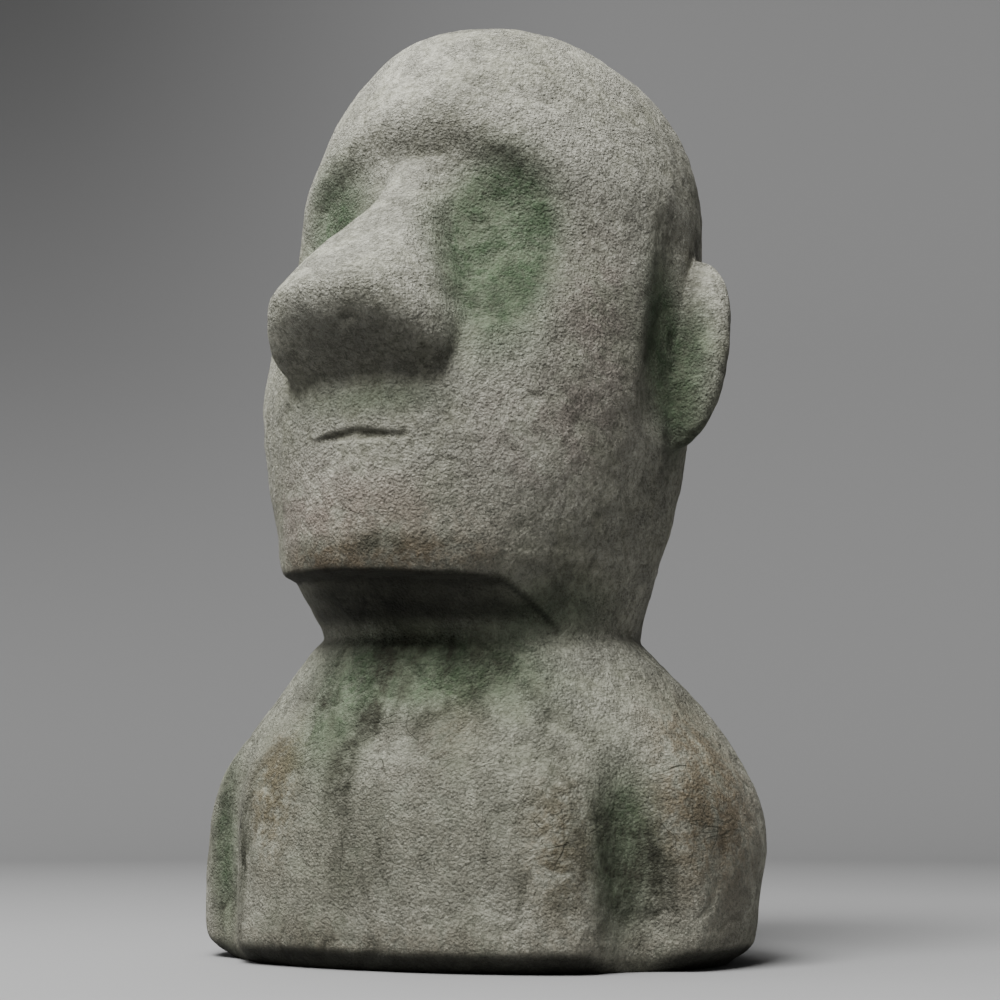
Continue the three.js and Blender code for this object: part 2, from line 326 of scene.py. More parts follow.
@dataclass(frozen=True)
class Bust:
    """The bell-shaped bust with its bevelled foot and a groove in front of each arm."""

    sections: Sections = Sections((
        (-20, 145, 0, 108, 117),
        (0, 145, 0, 109, 118),
        (14, 149, 0, 112, 120),
        (35, 152, 3, 116, 119),
        (56, 153.5, 9, 122.5, 116),
        (77, 151, 9.5, 121, 114),
        (98, 143, 9, 116, 109),
        (119, 128, 11, 108, 101),
        (140, 109.5, 10, 97, 92),
        (152, 98.5, 7, 88.5, 86),
        (163, 87.5, 5, 80, 80),
        (175, 70, 4, 64, 64),
        (200, 60, 4, 50, 50),
    ))
    top: float = 190.0
    curve_front: float = 2.15
    curve_back: float = 2.0
    bevel_height: float = 9.0
    bevel_slope: float = 0.9
    groove_turn: float = radians(6.0)
    low_groove: Rod = Rod((125, -79, -10), (125, -80, 60), 22, 21)
    high_groove: Rod = Rod((125, -80, 60), (120, -78, 98), 21, 17)
    groove_rounding: float = 17.0

    def in_groove(self, x: Array, y: Array, z: Array) -> Array:
        """Distance from the arm groove's skin, negative inside the groove.

        Both grooves are turned together about the upright axis.
        """
        turned = np.abs(x * cos(self.groove_turn) + y * sin(self.groove_turn))
        behind = y * cos(self.groove_turn) - x * sin(self.groove_turn)
        return np.minimum(self.low_groove.distance(turned, behind, z),
                          self.high_groove.distance(turned, behind, z))

    def value(self, x: Array, y: Array, z: Array) -> Array:
        """Negative inside: oval size less one, bevelled at the foot, with the grooves cut."""
        half_width, middle, front, back = self.sections.at(z)
        facing = y < middle
        reach = np.where(facing, front, back)
        level = oval(x / half_width, (y - middle) / reach, np.where(facing, self.curve_front, self.curve_back))
        sides = (level - 1.0) * reach
        foot = sides - (z - self.bevel_height) * self.bevel_slope
        body = soft_max(soft_max(sides, foot, 3.0), z - self.top, 6.0)
        return soft_max(body, -self.in_groove(x, y, z), self.groove_rounding)


@dataclass(frozen=True)
class StatueForm:
    """The whole statue's form: the masses joined, and the jaw, eyes and mouth cut."""

    skull: Skull = Skull()
    eyes: EyeRegion = EyeRegion()
    nose: Nose = Nose()
    ear: Ear = Ear()
    neck: Neck = Neck()
    bust: Bust = Bust()
    mouth: Rod = Rod((0, -122.3, 261.5), (27, -118.5, 259), 2.8, 1.6)
    jaw_height: float = 193.0
    jaw_front: float = -110.0
    jaw_side_slope: float = -0.05
    jaw_back_slope: float = 0.0
    jaw_rounding: float = 3.0
    jaw_end: float = 60.0
    jaw_end_softness: float = 26.0
    jaw_end_drop: float = 45.0
    nose_rounding: float = 3.0
    ear_rounding: float = 4.0
    hollow_rounding: float = 12.0

    def value(self, x: Array, y: Array, z: Array) -> Array:
        """Negative inside the stone, positive outside, zero on the surface."""
        jaw = self.jaw_height + self.jaw_side_slope * x - self.jaw_back_slope * (y - self.jaw_front)
        jaw = jaw - self.jaw_end_drop * ease((x - self.jaw_end) / self.jaw_end_softness)
        sunk = self.skull.value(x, y, z) + self.eyes.depth(x, y, z)
        face = soft_max(sunk, jaw - z, self.jaw_rounding)
        face = soft_min(face, self.nose.value(x, y, z), self.nose_rounding)
        face = soft_max(face, -self.ear.hollow.distance(np.abs(x), y, z), self.hollow_rounding)
        head = soft_min(face, self.ear.value(x, y, z), self.ear_rounding)
        head = soft_max(head, -self.mouth.distance(np.abs(x), y, z), 2.0)
        lower = soft_min(self.bust.value(x, y, z), self.neck.value(x, y, z, self.skull), 4.0)
        return soft_min(head, lower, 3.0)


# ------------------------------------------------------------------ the surface


@dataclass(frozen=True)
class RayGrid:
    """Rays from an upright axis: level rows up to the fan's height, then a fan over the crown."""

    level_runs: tuple[tuple[float, int], ...] = (
        (12, 8), (152, 66), (206, 38), (250, 20), (268, 16), (304, 26), (400, 50))
    fan_height: float = 400.0
    fan_rows: int = 86
    head_runs: tuple[tuple[float, int], ...] = ((50, 54), (72, 20), (106, 42), (180, 38))
    bust_runs: tuple[tuple[float, int], ...] = ((46, 44), (76, 44), (110, 28), (180, 38))
    change_from: float = 130.0
    change_to: float = 190.0
    axis: tuple[tuple[float, float], ...] = ((0, 5), (150, 5), (230, 20), (300, 40), (400, 30))

    @staticmethod
    def steps(runs: Sequence[tuple[float, int]]) -> Array:
        """Even steps through runs of (end, count), starting at 0."""
        parts, start = [np.zeros(1)], 0.0
        for end, count in runs:
            parts.append(start + (end - start) * np.arange(1, count + 1) / count)
            start = end
        return np.concatenate(parts)

    def starts(self) -> tuple[Array, Array, Array]:
        """Where each row's rays leave the axis, and how steeply they climb.

        Returns:
            Setback, height and climb in radians, one of each for every row.
        """
        levels = self.steps(self.level_runs)
        at, setback = np.array(self.axis).T
        fan = np.arange(1, self.fan_rows) / self.fan_rows * (pi / 2)
        y = np.concatenate([np.interp(levels, at, setback), np.full(len(fan), setback[-1])])
        z = np.concatenate([levels, np.full(len(fan), self.fan_height)])
        return y, z, np.concatenate([np.zeros(len(levels)), fan])

    def angles(self, height: Array) -> Array:
        """Angle of every column at each row's height, in radians from +X.

        Args:
            height: one height for each row.

        Returns:
            Rows by columns, going round from the face by way of the statue's left.
        """
        share = ease((height - self.change_from) / (self.change_to - self.change_from))[:, None]
        half = self.steps(self.bust_runs) * (1 - share) + self.steps(self.head_runs) * share
        right = 360.0 - half[:, :0:-1]
        return np.radians(np.concatenate([half[:, :-1], right], axis=1) - 90.0)

    def solve(self, form: StatueForm) -> tuple[Array, Array, Array]:
        """Finds the point where each ray leaves the stone for good.

        Each ray is walked inwards in 3 mm steps until it is inside, then that step is
        halved until the crossing is known to a few microns.

        Args:
            form: the statue's form.

        Returns:
            The grid of points, the middle of the underside, and the top of the crown.
        """
        y0, z0, climb = self.starts()
        angle = self.angles(z0)
        dx = np.cos(climb)[:, None] * np.cos(angle)
        dy = np.cos(climb)[:, None] * np.sin(angle)
        dz = np.broadcast_to(np.sin(climb)[:, None], angle.shape)
        y0 = np.broadcast_to(y0[:, None], angle.shape)
        z0 = np.broadcast_to(z0[:, None], angle.shape)
        far = self._cross(form, *(a.ravel() for a in (dx, dy, dz, y0, z0))).reshape(angle.shape)
        grid = np.stack([dx * far, y0 + dy * far, z0 + dz * far], axis=-1)
        up = self._cross(form, *(np.array([v]) for v in (0.0, 0.0, 1.0, self.axis[-1][1], self.fan_height)))
        top = np.array([0.0, self.axis[-1][1], self.fan_height + up[0]])
        return grid, np.array([0.0, self.axis[0][1], 0.0]), top

    @staticmethod
    def _cross(form: StatueForm, dx: Array, dy: Array, dz: Array, y0: Array, z0: Array) -> Array:
        """Length of each ray at its outermost crossing, by walking in and then halving."""
        step = 3.0
        far = np.full(dx.shape, 210.0)
        live = np.arange(dx.size)
        while live.size:
            near = far[live] - step
            inside = form.value(dx[live] * near, y0[live] + dy[live] * near, z0[live] + dz[live] * near) < 0
            far[live[~inside]] -= step
            live = live[~inside]
        low, high = far - step, far
        for _ in range(11):
            half = (low + high) / 2
            inside = form.value(dx * half, y0 + dy * half, z0 + dz * half) < 0
            low, high = np.where(inside, half, low), np.where(inside, high, half)
        return (low + high) / 2


def grid_normals(grid: Array) -> Array:
    """Outward unit normals of a grid whose columns close: the cross of its two slopes."""
    around = np.roll(grid, -1, 1) - np.roll(grid, 1, 1)
    up = np.empty_like(grid)
    up[1:-1] = grid[2:] - grid[:-2]
    up[0], up[-1] = grid[1] - grid[0], grid[-1] - grid[-2]
    normal = np.cross(around, up)
    return normal / np.linalg.norm(normal, axis=-1, keepdims=True)


def crevices(form: StatueForm, points: Array, normals: Array, reach: float) -> Array:
    """How closed in each point is, from 0 on open stone to 1 in a narrow crease.

    The form's value grows evenly along the normal over open stone. In a crease it grows
    less, because the other side comes near, and the shortfall is what is measured.

    Args:
        form: the statue's form.
        points: points on its surface.
        normals: its unit normals there.
        reach: how far out along the normal to look.

    Returns:
        One minus the value at that reach over its expected value, held to 0 and 1.
    """
    near = form.value(*np.moveaxis(points + normals, -1, 0))
    far = form.value(*np.moveaxis(points + normals * reach, -1, 0))
    return np.clip(1.0 - far / (np.maximum(near, 0.2) * reach), 0.0, 1.0)


# ------------------------------------------------------------------ relief


@dataclass(frozen=True)
class Noise:
    """Smooth random values on a cubic lattice, blended with an eased weight."""

    seed: int

    def single(self, points: Array, size: float) -> Array:
        """One layer between -1 and 1 whose bumps are about the given size.

        Args:
            points: places, one row each.
            size: lattice spacing, in the points' own unit.

        Returns:
            One value for each place.
        """
        place = points / size
        base = np.floor(place).astype(np.int64)
        t = place - base
        t = t * t * t * (t * (t * 6 - 15) + 10)
        total = np.zeros(points.shape[:-1])
        for corner in np.ndindex(2, 2, 2):
            cell = base + np.array(corner)
            mixed = cell[..., 0] * 73856093 ^ cell[..., 1] * 19349663 ^ cell[..., 2] * 83492791
            mixed = (mixed ^ self.seed * 2654435761) & 0x7FFFFFFF
            mixed = (mixed ^ (mixed >> 13)) * 1274126177 & 0x7FFFFFFF
            mixed = (mixed ^ (mixed >> 16)) * 2246822519 & 0x7FFFFFFF
            weight = np.prod(np.where(corner, t, 1 - t), axis=-1)
            total += weight * (mixed / 0x3FFFFFFF - 1.0)
        return total

    def layered(self, points: Array, size: float, layers: int, fade: float = 0.5) -> Array:
        """Layers of half the size and a faded height, added up and brought back to about 1."""
        total, height = np.zeros(points.shape[:-1]), 1.0
        for layer in range(layers):
            total += height * Noise(self.seed + 17 * layer).single(points + 31.7 * layer, size / 2 ** layer)
            height *= fade
        return total * (1 - fade) / (1 - height)


@dataclass(frozen=True)
class Relief:
    """The hand-worked, weathered skin: slow lumps, small lumps, pits and creases."""

    lump_size: float = 46.0
    lump_height: float = 1.1
    knock_size: float = 15.0
    knock_height: float = 0.55
    crumb_size: float = 6.5
    crumb_height: float = 0.35
    pit_size: float = 9.0
    pit_depth: float = 1.1
    crease_size: float = 34.0
    crease_depth: float = 0.8

    def height(self, points: Array) -> Array:
        """How far each point stands proud of the plain form, in millimetres.

        Args:
            points: places on the plain form, in millimetres.

        Returns:
            Lumps and knocks added, less pits (the noise above a threshold, squared) and
            creases (a narrow band where a stretched noise passes through zero).
        """
        lumps = self.lump_height * Noise(3).layered(points, self.lump_size, 2)
        knocks = self.knock_height * Noise(11).layered(points, self.knock_size, 2, 0.6)
        crumbs = self.crumb_height * Noise(19).layered(points, self.crumb_size, 2, 0.6)
        pits = self.pit_depth * np.clip((Noise(29).single(points, self.pit_size) - 0.62) / 0.38, 0, 1) ** 2
        bust = ease((165.0 - points[..., 2]) / 30.0)
        stretched = points * np.array([1.0, 1.0, 0.55])
        line = np.abs(Noise(41).layered(stretched, self.crease_size, 2))
        creases = self.crease_depth * ease(1.0 - line / 0.07) * (0.25 + 0.75 * bust)
        foot = ease((points[..., 2] - 0.5) / 6.0)
        return (lumps + knocks + crumbs - pits - creases) * foot


# ------------------------------------------------------------------ node sheets


class Wire:
    """One number socket, with operators that add Math nodes to its sheet."""

    def __init__(self, sheet: "Sheet", socket: bpy.types.NodeSocket) -> None:
        """Keeps the sheet and the socket that the number comes from."""
        self.sheet = sheet
        self.socket = socket

    def _math(self, operation: str, *values: Any) -> "Wire":
        """Adds one Math node and returns its result."""
        return self.sheet.add("ShaderNodeMath", {"operation": operation}, dict(enumerate(values))).out("Value")

    def __add__(self, other: Any) -> "Wire":
        """This plus other."""
        return self._math("ADD", self, other)

    def __radd__(self, other: Any) -> "Wire":
        """Other plus this."""
        return self._math("ADD", other, self)

    def __sub__(self, other: Any) -> "Wire":
        """This less other."""
        return self._math("SUBTRACT", self, other)

    def __rsub__(self, other: Any) -> "Wire":
        """Other less this."""
        return self._math("SUBTRACT", other, self)

    def __mul__(self, other: Any) -> "Wire":
        """This times other."""
        return self._math("MULTIPLY", self, other)

    def __rmul__(self, other: Any) -> "Wire":
        """Other times this."""
        return self._math("MULTIPLY", other, self)

    def __truediv__(self, other: Any) -> "Wire":
        """This divided by other."""
        return self._math("DIVIDE", self, other)

    def __pow__(self, other: Any) -> "Wire":
        """This to the power of other."""
        return self._math("POWER", self, other)

    def __abs__(self) -> "Wire":
        """This without its sign."""
        return self._math("ABSOLUTE", self)

    def sine(self) -> "Wire":
        """The sine of this, in radians."""
        return self._math("SINE", self)

    def between(self, low: float, high: float) -> "Wire":
        """Eased from 0 at low to 1 at high, which may be the smaller."""
        flip = low > high
        settings = {"interpolation_type": "SMOOTHSTEP"}
        values = {"Value": self, "From Min": min(low, high), "From Max": max(low, high)}
        if flip:
            values |= {"To Min": 1.0, "To Max": 0.0}
        return self.sheet.add("ShaderNodeMapRange", settings, values).out("Result")


@dataclass
class Made:
    """A node that has been added to a sheet."""

    sheet: "Sheet"
    node: bpy.types.Node

    def out(self, name: str) -> Wire:
        """The node's output of that name, as a number."""
        return Wire(self.sheet, self.raw(name))

    def raw(self, name: str) -> bpy.types.NodeSocket:
        """The node's enabled output of that name, for colours and vectors."""
        return next(s for s in self.node.outputs if s.name == name and s.enabled)


class Sheet:
    """A material's node tree, filled one node at a time."""

    def __init__(self, name: str) -> None:
        """Makes an empty material of that name."""
        self.material = bpy.data.materials.new(name)
        self.material.use_nodes = True
        self.tree = self.material.node_tree
        self.tree.nodes.clear()

    def add(self, kind: str, settings: dict[str, Any], values: dict[Any, Any]) -> Made:
        """Adds a node.

        Args:
            kind: the node's type name.
            settings: attributes of the node, set first.
            values: socket name or number, to a value, a Wire or a socket to link.

        Returns:
            The node, ready to give its outputs.
        """
        node = self.tree.nodes.new(kind)
        for key, value in settings.items():
            setattr(node, key, value)
        for key, value in values.items():
            socket = node.inputs[key] if isinstance(key, int) else next(
                s for s in node.inputs if s.name == key and s.enabled)
            if isinstance(value, Wire):
                value = value.socket
            if isinstance(value, bpy.types.NodeSocket):
                self.tree.links.new(value, socket)
            else:
                socket.default_value = value
        return Made(self, node)

    def place(self) -> bpy.types.NodeSocket:
        """The object coordinates, in metres."""
        return self.add("ShaderNodeTexCoord", {}, {}).raw("Object")

    def attribute(self, name: str) -> Wire:
        """A number stored on the piece's vertices."""
        return self.add("ShaderNodeAttribute", {"attribute_name": name}, {}).out("Fac")

    def stretch(self, vector: bpy.types.NodeSocket, factors: Point) -> bpy.types.NodeSocket:
        """A vector multiplied along each axis."""
        return self.add("ShaderNodeVectorMath", {"operation": "MULTIPLY"}, {0: vector, 1: factors}).raw("Vector")

    def noise(self, vector: bpy.types.NodeSocket, scale: float, detail: float, roughness: float = 0.5,
              distortion: float = 0.0) -> Wire:
        """Fractal noise between 0 and 1 with about `scale` bumps to the metre."""
        return self.add("ShaderNodeTexNoise", {}, {
            "Vector": vector, "Scale": scale, "Detail": detail, "Roughness": roughness,
            "Distortion": distortion}).out("Fac")

    def blend(self, factor: Any, low: Any, high: Any, how: str = "MIX") -> bpy.types.NodeSocket:
        """Mixes two colours by a factor."""
        settings = {"data_type": "RGBA", "blend_type": how}
        return self.add("ShaderNodeMix", settings, {0: factor, 6: low, 7: high}).raw("Result")


# ------------------------------------------------------------------ the stone


class Mask(Enum):
    """Names of the numbers that the skin carries for its finish and its painted shade."""

    ALGAE = "algae"
    RUST = "rust_stain"
    PINK = "pink_tint"
    # dirty stains and streaks, and painted shade under the jaw and in the neck crease
    GRIME_AND_SHADE = "grime_and_shade"
    HOLLOW = "hollow"
    # painted shade on surfaces that face down
    UNDERSIDE_SHADE = "underside"
    # painted shade in creases, also standing for soiling gathered there
    CREVICE = "crevice"
    COARSE = "coarse"
    SCRAPED = "scraped"


@dataclass(frozen=True)
class Patch:
    """A soft-edged round patch on the skin."""

    centre: Point
    radii: Point
    strength: float = 1.0

    def share(self, points: Array) -> Array:
        """Strength at the middle, easing to nothing at the patch's edge."""
        size = np.linalg.norm((points - np.array(self.centre)) / np.array(self.radii), axis=-1)
        return self.strength * ease(1.0 - size)


@dataclass(frozen=True)
class Weathering:
    """Where the stone is green, brown, pink or dirty, and where shade is painted under the jaw and in the neck crease.
    """

    algae: tuple[Patch, ...] = (
        Patch((54, -75, 370), (48, 60, 66), 1.5),
        Patch((58, -85, 325), (40, 50, 56), 0.9),
        Patch((-50, -75, 380), (48, 60, 58), 1.2),
        Patch((0, -116, 280), (80, 30, 17), 0.35),
        Patch((116, 14, 325), (28, 34, 78), 1.2),
        Patch((108, 24, 275), (24, 30, 36), 0.7),
        Patch((-116, 14, 325), (28, 34, 78), 1.1),
        Patch((118, -62, 58), (24, 30, 66), 1.3),
        Patch((-112, -66, 58), (20, 30, 70), 1.0),
        Patch((0, -80, 152), (95, 60, 32), 0.8),
        Patch((-28, -95, 122), (38, 50, 46), 0.75),
        Patch((62, -78, 148), (46, 50, 40), 0.6),
        Patch((70, -45, 178), (48, 60, 26), 0.7),
        Patch((0, 70, 150), (110, 60, 50), 0.4),
        Patch((0, 0, 4), (190, 170, 9), 0.5),
        Patch((0, -60, 90), (220, 150, 150), 0.35),
        Patch((0, -70, 330), (160, 110, 120), 0.12),
        Patch((105, 0, 317), (18, 34, 66), 0.7),
        Patch((51, -61, 374), (36, 44, 48), 0.8),
        Patch((15, -121, 277), (60, 30, 14), 0.3),
        Patch((17, -85, 142), (50, 50, 36), 0.6),
    )
    rust: tuple[Patch, ...] = (
        Patch((142, -20, 78), (40, 70, 80), 1.2),
        Patch((122, -10, 124), (45, 60, 34), 0.6),
        Patch((-60, -98, 92), (30, 40, 66), 1.1),
        Patch((40, -95, 124), (28, 40, 42), 0.5),
        Patch((96, -86, 60), (26, 34, 60), 0.8),
        Patch((0, -112, 201), (120, 60, 14), 1.0),
        Patch((0, 0, 12), (190, 170, 26), 1.3),
        Patch((0, -60, 60), (220, 150, 90), 0.45),
        Patch((20, -110, 215), (120, 60, 40), 0.5),
        Patch((-145, -20, 70), (34, 60, 76), 0.7),
    )
    pink: tuple[Patch, ...] = (
        Patch((96, -44, 320), (30, 50, 92), 1.0),
        Patch((80, -75, 262), (60, 60, 50), 0.8),
        Patch((-20, -110, 225), (90, 60, 42), 1.0),
        Patch((20, -105, 110), (60, 50, 50), 0.4),
    )
    # Darkened patches: real stains and chest streaks, and painted shade under the jaw and in the neck crease.
    dark: tuple[Patch, ...] = (
        Patch((118, -60, 50), (22, 26, 78), 0.8),
        Patch((-112, -64, 50), (20, 26, 82), 0.8),
        Patch((114, 16, 318), (20, 24, 74), 0.35),
        Patch((-114, 16, 318), (20, 24, 74), 0.35),
        Patch((0, -84, 160), (110, 40, 16), 0.7),
        Patch((-28, -100, 178), (96, 44, 22), 1.2),
        Patch((-26, -92, 142), (56, 50, 40), 0.7),
        Patch((40, -84, 150), (50, 50, 26), 0.5),
        Patch((56, -75, 366), (42, 50, 60), 0.6),
        Patch((54, -88, 318), (34, 44, 48), 0.5),
        Patch((-45, -78, 385), (40, 45, 44), 0.35),
        Patch((-148, -30, 60), (24, 50, 90), 0.4),
        Patch((104, -84, 60), (18, 26, 50), 0.4),
        Patch((0, 0, 2), (190, 170, 7), 0.6),
        Patch((7, -89, 136), (42, 44, 44), 1.1),
        Patch((-15, -110, 82), (14, 30, 66), 1.0),
        Patch((92, -81, 101), (30, 36, 44), 0.6),
        Patch((128, -45, 44), (24, 40, 50), 0.8),
        Patch((-82, -97, 57), (30, 60, 80), 0.7),
        Patch((105, 0, 317), (14, 30, 64), 0.2),
        Patch((7, -117, 207), (100, 50, 12), 0.9),
        Patch((0, -60, 70), (230, 150, 150), 0.5),
    )
    coarse: tuple[Patch, ...] = (
        Patch((15, -76, 425), (70, 50, 24), 1.0),
        Patch((69, -56, 406), (44, 50, 30), 0.9),
        Patch((9, -148, 322), (60, 44, 26), 1.0),
        Patch((11, -133, 303), (70, 50, 30), 0.7),
        Patch((22, -113, 199), (110, 60, 20), 1.0),
        Patch((97, -45, 332), (44, 60, 96), 0.8),
        Patch((66, -92, 228), (60, 50, 46), 0.8),
        Patch((0, 0, 10), (190, 170, 18), 1.0),
        Patch((145, -35, 58), (50, 60, 80), 0.6),
        Patch((22, -112, 68), (80, 60, 70), 0.6),
    )
    scraped: tuple[Patch, ...] = (
        Patch((92, -92, 58), (18, 24, 18), 1.3),
        Patch((-15, -113, 57), (16, 24, 18), 1.2),
        Patch((30, -112, 58), (12, 20, 14), 1.2),
        Patch((9, -101, 112), (18, 24, 24), 1.2),
        Patch((102, -85, 72), (46, 26, 9), 1.2),
        Patch((128, -40, 100), (36, 36, 9), 1.2),
        Patch((145, -32, 68), (46, 46, 26), 1.3),
        Patch((0, -90, 80), (190, 90, 110), 0.45),
        Patch((58, -98, 228), (30, 30, 26), 0.6),
    )

    @staticmethod
    def total(patches: Sequence[Patch], points: Array) -> Array:
        """Patches added up and held to 1."""
        return np.clip(sum(patch.share(points) for patch in patches), 0.0, 1.0)


@dataclass(frozen=True)
class WeatheredStone:
    """Sand-cement stone: gritty, warm grey, with algae, brown stains and darkened hollows, and painted shade on
    undersides, in creases and under the jaw.
    """

    pale: tuple[float, float, float, float] = (0.480, 0.472, 0.395, 1)
    deep: tuple[float, float, float, float] = (0.250, 0.248, 0.192, 1)
    green: tuple[float, float, float, float] = (0.040, 0.100, 0.032, 1)
    brown: tuple[float, float, float, float] = (0.190, 0.132, 0.068, 1)
    pinkish: tuple[float, float, float, float] = (0.440, 0.372, 0.322, 1)
    # dark for real stains and scratches, and for painted shade in creases and under the jaw
    dirt_and_shade: tuple[float, float, float, float] = (0.050, 0.051, 0.034, 1)
    # painted shade: near black laid on surfaces that face down
    underside_shade: tuple[float, float, float, float] = (0.012, 0.012, 0.009, 1)
    grain_scale: float = 500.0
    sand_scale: float = 640.0
    pore_scale: float = 330.0
    streak_scale: float = 42.0
    scratch_scale: float = 42.0
    bump_distance: float = 0.0052
    roughness: float = 0.88

    def material(self) -> bpy.types.Material:
        """Makes the stone's material.

        Returns:
            A material whose colour and bump follow the object's own coordinates and the
            numbers that the skin carries.
        """
        sheet = Sheet("weathered_stone")
        place = sheet.place()
        cloud = sheet.noise(place, 14.0, 4.0, 0.55)
        blot = sheet.noise(place, 55.0, 5.0, 0.6, 0.4)
        fleck = sheet.noise(place, 240.0, 4.0, 0.6)
        grain = sheet.noise(place, self.grain_scale, 4.0, 0.75, 1.2)
        pores = sheet.noise(place, self.pore_scale, 3.0, 0.7, 0.3)
        sand = sheet.add("ShaderNodeTexVoronoi", {"feature": "F1"}, {
            "Vector": place, "Scale": self.sand_scale, "Randomness": 1.0}).out("Distance")
        streaks = sheet.noise(sheet.stretch(place, (1.0, 1.0, 0.38)), self.streak_scale, 4.0, 0.65, 0.3)
        falling = sheet.noise(sheet.stretch(place, (1.0, 1.0, 0.3)), self.scratch_scale, 2.0, 0.4, 0.2)
        lying = sheet.noise(sheet.stretch(place, (0.3, 0.3, 1.3)), self.scratch_scale, 2.0, 0.4, 0.3)
        algae = sheet.attribute(Mask.ALGAE.value)
        rust = sheet.attribute(Mask.RUST.value)
        pink = sheet.attribute(Mask.PINK.value)
        grime_and_shade = sheet.attribute(Mask.GRIME_AND_SHADE.value)
        hollow = sheet.attribute(Mask.HOLLOW.value)
        under = sheet.attribute(Mask.UNDERSIDE_SHADE.value)
        crevice = sheet.attribute(Mask.CREVICE.value)
        coarse = sheet.attribute(Mask.COARSE.value)
        scraped = sheet.attribute(Mask.SCRAPED.value)

        colour = sheet.blend((cloud * 0.45 + blot * 0.35 + fleck * 0.2).between(0.36, 0.58), self.deep, self.pale)
        colour = sheet.blend(pink * blot.between(0.35, 0.65) * 0.8, colour, self.pinkish)
        colour = sheet.blend(rust * (blot * 0.6 + fleck * 0.4).between(0.38, 0.58) * 0.8, colour, self.brown)
        film = algae * ((blot * 0.5 + fleck * 0.5).between(0.25, 0.7) * 0.5 + 0.5)
        colour = sheet.blend(film * 0.92, colour, self.green)
        # Darker where the fleck and grain noises are low; the same noises raise the bump, so these are its low spots.
        low_grain_dark = (fleck * 0.35 + grain * 0.65).between(0.55, 0.40) * 0.5
        colour = sheet.blend(low_grain_dark, colour, self.dirt_and_shade)
        # Dirty streaks, and painted shade where the dark patches lie under the jaw and in the neck crease.
        shade = grime_and_shade * ((streaks * 0.7 + fleck * 0.3).between(0.42, 0.60) * 0.85 + 0.15)
        # Blends the streaks and painted shade, and darkens where the relief is sunk, in its pits and creases.
        colour = sheet.blend(shade + hollow * blot.between(0.3, 0.6) * 0.4, colour, self.dirt_and_shade)
        # Painted shade in creases, from how closed in the form is, also standing for soiling gathered there.
        colour = sheet.blend(crevice * 0.6, colour, self.dirt_and_shade)
        # Painted shade: surfaces that face down go towards near black, most of all below the jaw.
        colour = sheet.blend(under * (fleck * 0.3 + 0.7), colour, self.underside_shade)
        scratches = (abs(falling - 0.5).between(0.0055, 0.0) + abs(lying - 0.5).between(0.0055, 0.0)) * scraped
        colour = sheet.blend(scratches * 0.55, colour, self.dirt_and_shade)

        roughest = coarse * 0.6 + blot.between(0.4, 0.62) * 0.5 + 0.25
        height = (grain * 0.95 - sand * 0.5 + fleck * 0.6) * roughest - pores.between(0.60, 0.72) * 0.35 * roughest
        bump = sheet.add("ShaderNodeBump", {}, {
            "Strength": 1.0, "Distance": self.bump_distance, "Height": height - scratches * 0.2}).raw("Normal")
        shader = sheet.add("ShaderNodeBsdfPrincipled", {}, {
            "Base Color": colour, "Roughness": self.roughness, "Specular IOR Level": 0.3, "Normal": bump})
        sheet.add("ShaderNodeOutputMaterial", {}, {"Surface": shader.raw("BSDF")})
        return sheet.material


